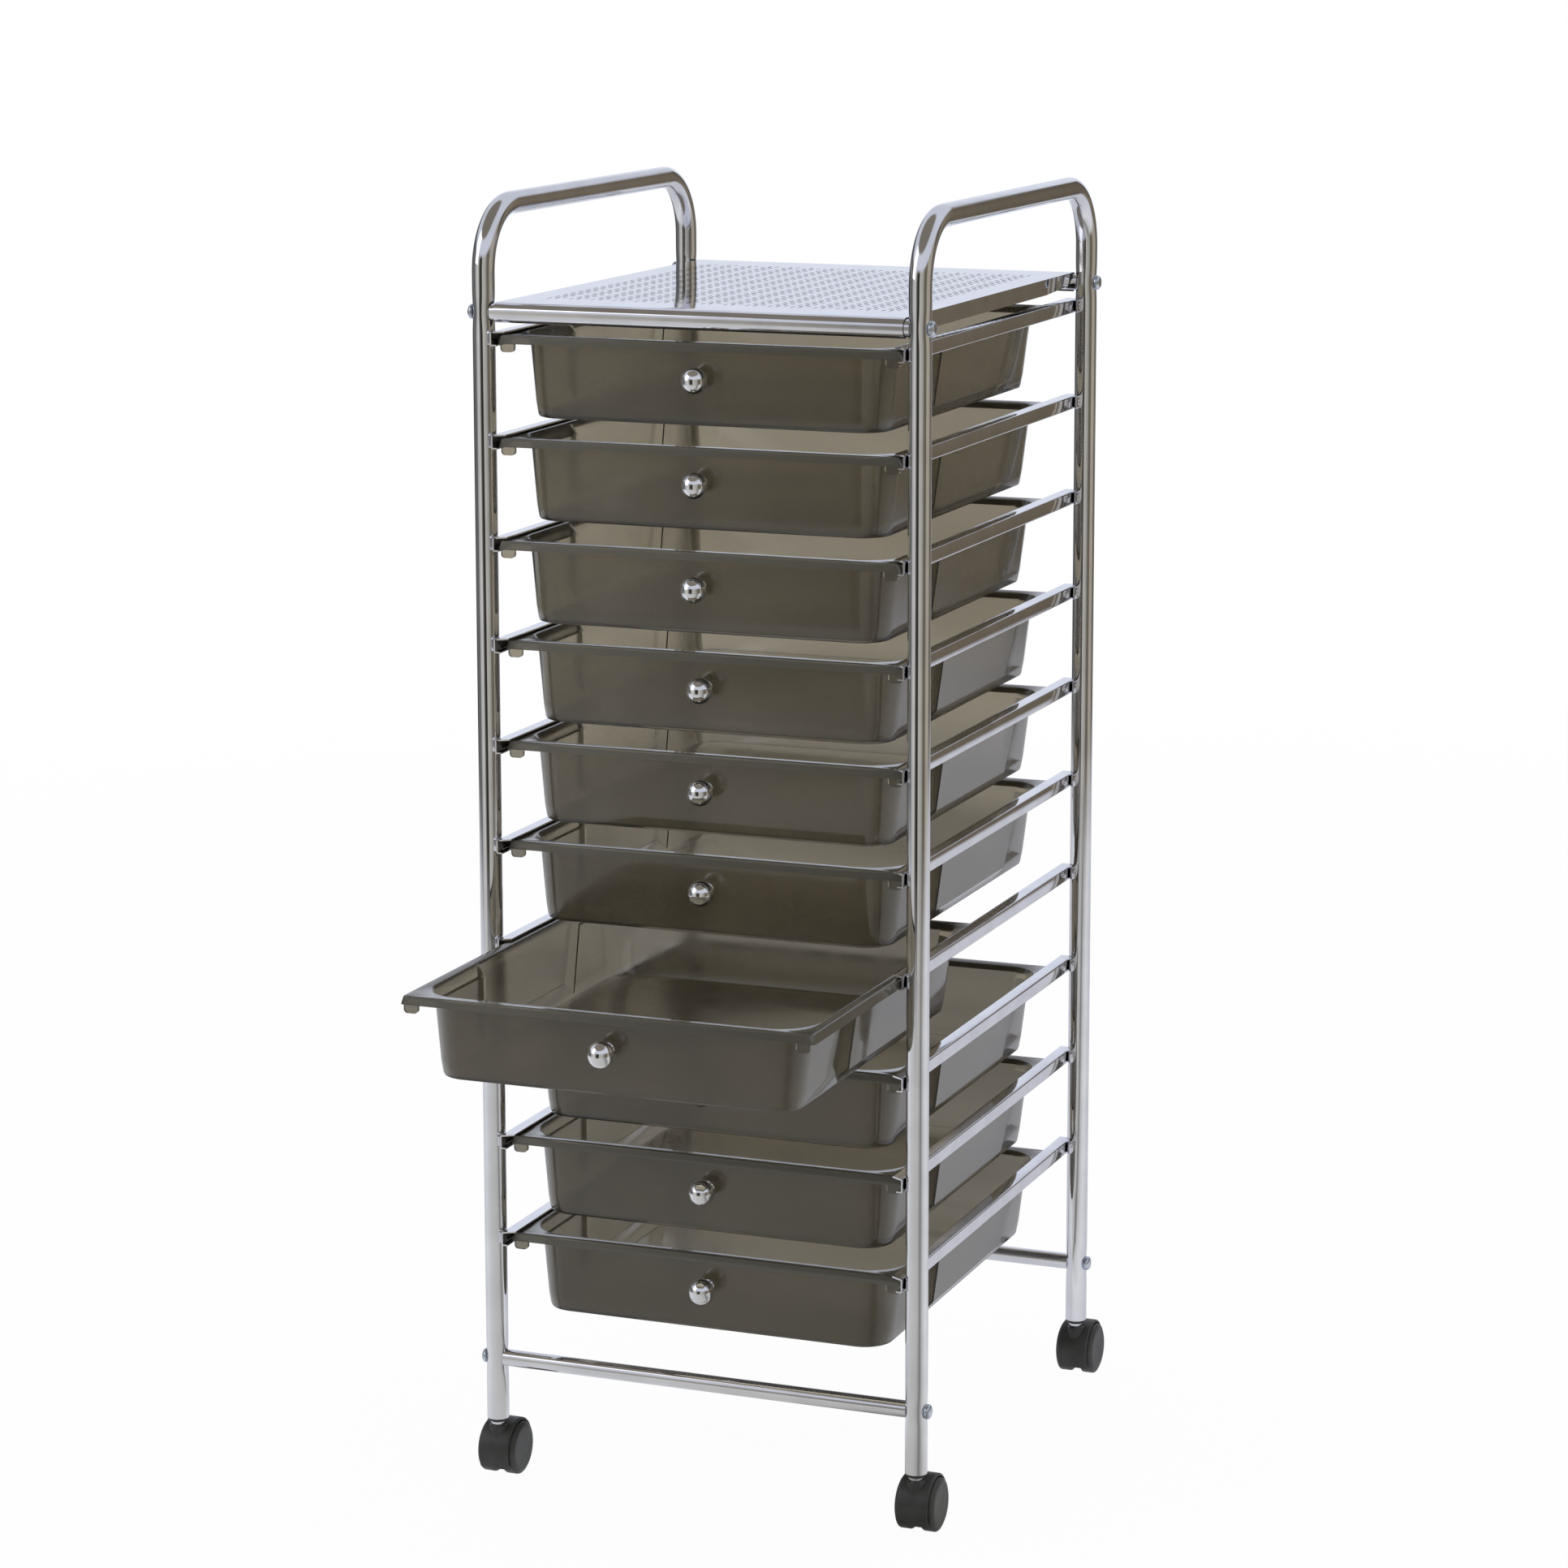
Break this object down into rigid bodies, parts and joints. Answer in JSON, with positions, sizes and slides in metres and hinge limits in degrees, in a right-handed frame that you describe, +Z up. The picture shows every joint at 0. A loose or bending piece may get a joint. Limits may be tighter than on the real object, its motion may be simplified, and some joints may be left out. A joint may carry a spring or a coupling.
{
  "type": "rolling drawer cart",
  "caption": "Chrome tube cart on swivel casters, with a perforated top shelf and a stack of see-through plastic drawers that slide on steel runners.",
  "frame": {"origin": "on the floor, under the middle of the box that the cart fills with its seventh drawer pulled out", "axes": "+Z up, +X to the cart's right seen from the front, -Y out of the drawers' fronts"},
  "size_m": [0.3492, 0.5754, 0.9219],
  "materials": {
    "chrome_tube": "polished chrome plate",
    "chrome_sheet": "polished chrome plate on pressed sheet",
    "zinc_screw": "zinc plated",
    "smoke_plastic": "moulded, see-through smoke grey",
    "chrome_knob": "polished chrome plate",
    "black_plastic": "moulded, fine satin",
    "bright_steel": "turned, nickel plated"
  },
  "bodies": {
    "frame": {"side_frame_left": "chrome_tube", "side_frame_right": "chrome_tube", "upper_front_crossbar": "chrome_tube", "upper_rear_crossbar": "chrome_tube", "lower_front_crossbar": "chrome_tube", "lower_rear_crossbar": "chrome_tube", "top_shelf": "chrome_sheet", "frame_screws": "zinc_screw", "runner_pair_01": "chrome_sheet", "runner_pair_02": "chrome_sheet", "runner_pair_03": "chrome_sheet", "runner_pair_04": "chrome_sheet", "runner_pair_05": "chrome_sheet", "runner_pair_06": "chrome_sheet", "runner_pair_07": "chrome_sheet", "runner_pair_08": "chrome_sheet", "runner_pair_09": "chrome_sheet", "runner_pair_10": "chrome_sheet", "caster_sockets": "black_plastic"},
    "drawer_01": {"drawer_tray_01": "smoke_plastic", "drawer_knob_01": "chrome_knob"},
    "drawer_02": {"drawer_tray_02": "smoke_plastic", "drawer_knob_02": "chrome_knob"},
    "drawer_03": {"drawer_tray_03": "smoke_plastic", "drawer_knob_03": "chrome_knob"},
    "drawer_04": {"drawer_tray_04": "smoke_plastic", "drawer_knob_04": "chrome_knob"},
    "drawer_05": {"drawer_tray_05": "smoke_plastic", "drawer_knob_05": "chrome_knob"},
    "drawer_06": {"drawer_tray_06": "smoke_plastic", "drawer_knob_06": "chrome_knob"},
    "drawer_07": {"drawer_tray_07": "smoke_plastic", "drawer_knob_07": "chrome_knob"},
    "drawer_08": {"drawer_tray_08": "smoke_plastic", "drawer_knob_08": "chrome_knob"},
    "drawer_09": {"drawer_tray_09": "smoke_plastic", "drawer_knob_09": "chrome_knob"},
    "drawer_10": {"drawer_tray_10": "smoke_plastic", "drawer_knob_10": "chrome_knob"},
    "caster_front_left": {"caster_housing_front_left": "black_plastic", "caster_stem_front_left": "bright_steel", "caster_axle_front_left": "bright_steel"},
    "wheel_left_front_left": {"caster_wheel_left_front_left": "black_plastic"},
    "wheel_right_front_left": {"caster_wheel_right_front_left": "black_plastic"},
    "caster_front_right": {"caster_housing_front_right": "black_plastic", "caster_stem_front_right": "bright_steel", "caster_axle_front_right": "bright_steel"},
    "wheel_left_front_right": {"caster_wheel_left_front_right": "black_plastic"},
    "wheel_right_front_right": {"caster_wheel_right_front_right": "black_plastic"},
    "caster_rear_left": {"caster_housing_rear_left": "black_plastic", "caster_stem_rear_left": "bright_steel", "caster_axle_rear_left": "bright_steel"},
    "wheel_left_rear_left": {"caster_wheel_left_rear_left": "black_plastic"},
    "wheel_right_rear_left": {"caster_wheel_right_rear_left": "black_plastic"},
    "caster_rear_right": {"caster_housing_rear_right": "black_plastic", "caster_stem_rear_right": "bright_steel", "caster_axle_rear_right": "bright_steel"},
    "wheel_left_rear_right": {"caster_wheel_left_rear_right": "black_plastic"},
    "wheel_right_rear_right": {"caster_wheel_right_rear_right": "black_plastic"}
  },
  "joints": [
    {"name": "drawer_01_slide", "type": "slide", "parent": "frame", "child": "drawer_01", "axis": [0, -1, 0], "range_m": [-0.008, 0.222]},
    {"name": "drawer_02_slide", "type": "slide", "parent": "frame", "child": "drawer_02", "axis": [0, -1, 0], "range_m": [-0.0085, 0.2215]},
    {"name": "drawer_03_slide", "type": "slide", "parent": "frame", "child": "drawer_03", "axis": [0, -1, 0], "range_m": [-0.011, 0.219]},
    {"name": "drawer_04_slide", "type": "slide", "parent": "frame", "child": "drawer_04", "axis": [0, -1, 0], "range_m": [-0.001, 0.229]},
    {"name": "drawer_05_slide", "type": "slide", "parent": "frame", "child": "drawer_05", "axis": [0, -1, 0], "range_m": [-0.001, 0.229]},
    {"name": "drawer_06_slide", "type": "slide", "parent": "frame", "child": "drawer_06", "axis": [0, -1, 0], "range_m": [-0.0005, 0.2295]},
    {"name": "drawer_07_slide", "type": "slide", "parent": "frame", "child": "drawer_07", "axis": [0, -1, 0], "range_m": [-0.173, 0.057]},
    {"name": "drawer_08_slide", "type": "slide", "parent": "frame", "child": "drawer_08", "axis": [0, -1, 0], "range_m": [-0.0005, 0.2295]},
    {"name": "drawer_09_slide", "type": "slide", "parent": "frame", "child": "drawer_09", "axis": [0, -1, 0], "range_m": [-0.002, 0.228]},
    {"name": "drawer_10_slide", "type": "slide", "parent": "frame", "child": "drawer_10", "axis": [0, -1, 0], "range_m": [-0.003, 0.227]},
    {"name": "caster_front_left_swivel", "type": "hinge", "parent": "frame", "child": "caster_front_left", "pos_m": [-0.16, -0.10565, 0.045], "axis": [0, 0, 1], "continuous": true},
    {"name": "wheel_left_front_left_roll", "type": "hinge", "parent": "caster_front_left", "child": "wheel_left_front_left", "pos_m": [-0.1696, -0.09415, 0.019], "axis": [1, 0, 0], "continuous": true},
    {"name": "wheel_right_front_left_roll", "type": "hinge", "parent": "caster_front_left", "child": "wheel_right_front_left", "pos_m": [-0.1504, -0.09415, 0.019], "axis": [1, 0, 0], "continuous": true},
    {"name": "caster_front_right_swivel", "type": "hinge", "parent": "frame", "child": "caster_front_right", "pos_m": [0.16, -0.10565, 0.045], "axis": [0, 0, 1], "continuous": true},
    {"name": "wheel_left_front_right_roll", "type": "hinge", "parent": "caster_front_right", "child": "wheel_left_front_right", "pos_m": [0.1504, -0.09415, 0.019], "axis": [1, 0, 0], "continuous": true},
    {"name": "wheel_right_front_right_roll", "type": "hinge", "parent": "caster_front_right", "child": "wheel_right_front_right", "pos_m": [0.1696, -0.09415, 0.019], "axis": [1, 0, 0], "continuous": true},
    {"name": "caster_rear_left_swivel", "type": "hinge", "parent": "frame", "child": "caster_rear_left", "pos_m": [-0.16, 0.25435, 0.045], "axis": [0, 0, 1], "continuous": true},
    {"name": "wheel_left_rear_left_roll", "type": "hinge", "parent": "caster_rear_left", "child": "wheel_left_rear_left", "pos_m": [-0.1696, 0.26585, 0.019], "axis": [1, 0, 0], "continuous": true},
    {"name": "wheel_right_rear_left_roll", "type": "hinge", "parent": "caster_rear_left", "child": "wheel_right_rear_left", "pos_m": [-0.1504, 0.26585, 0.019], "axis": [1, 0, 0], "continuous": true},
    {"name": "caster_rear_right_swivel", "type": "hinge", "parent": "frame", "child": "caster_rear_right", "pos_m": [0.16, 0.25435, 0.045], "axis": [0, 0, 1], "continuous": true},
    {"name": "wheel_left_rear_right_roll", "type": "hinge", "parent": "caster_rear_right", "child": "wheel_left_rear_right", "pos_m": [0.1504, 0.26585, 0.019], "axis": [1, 0, 0], "continuous": true},
    {"name": "wheel_right_rear_right_roll", "type": "hinge", "parent": "caster_rear_right", "child": "wheel_right_rear_right", "pos_m": [0.1696, 0.26585, 0.019], "axis": [1, 0, 0], "continuous": true}
  ]
}
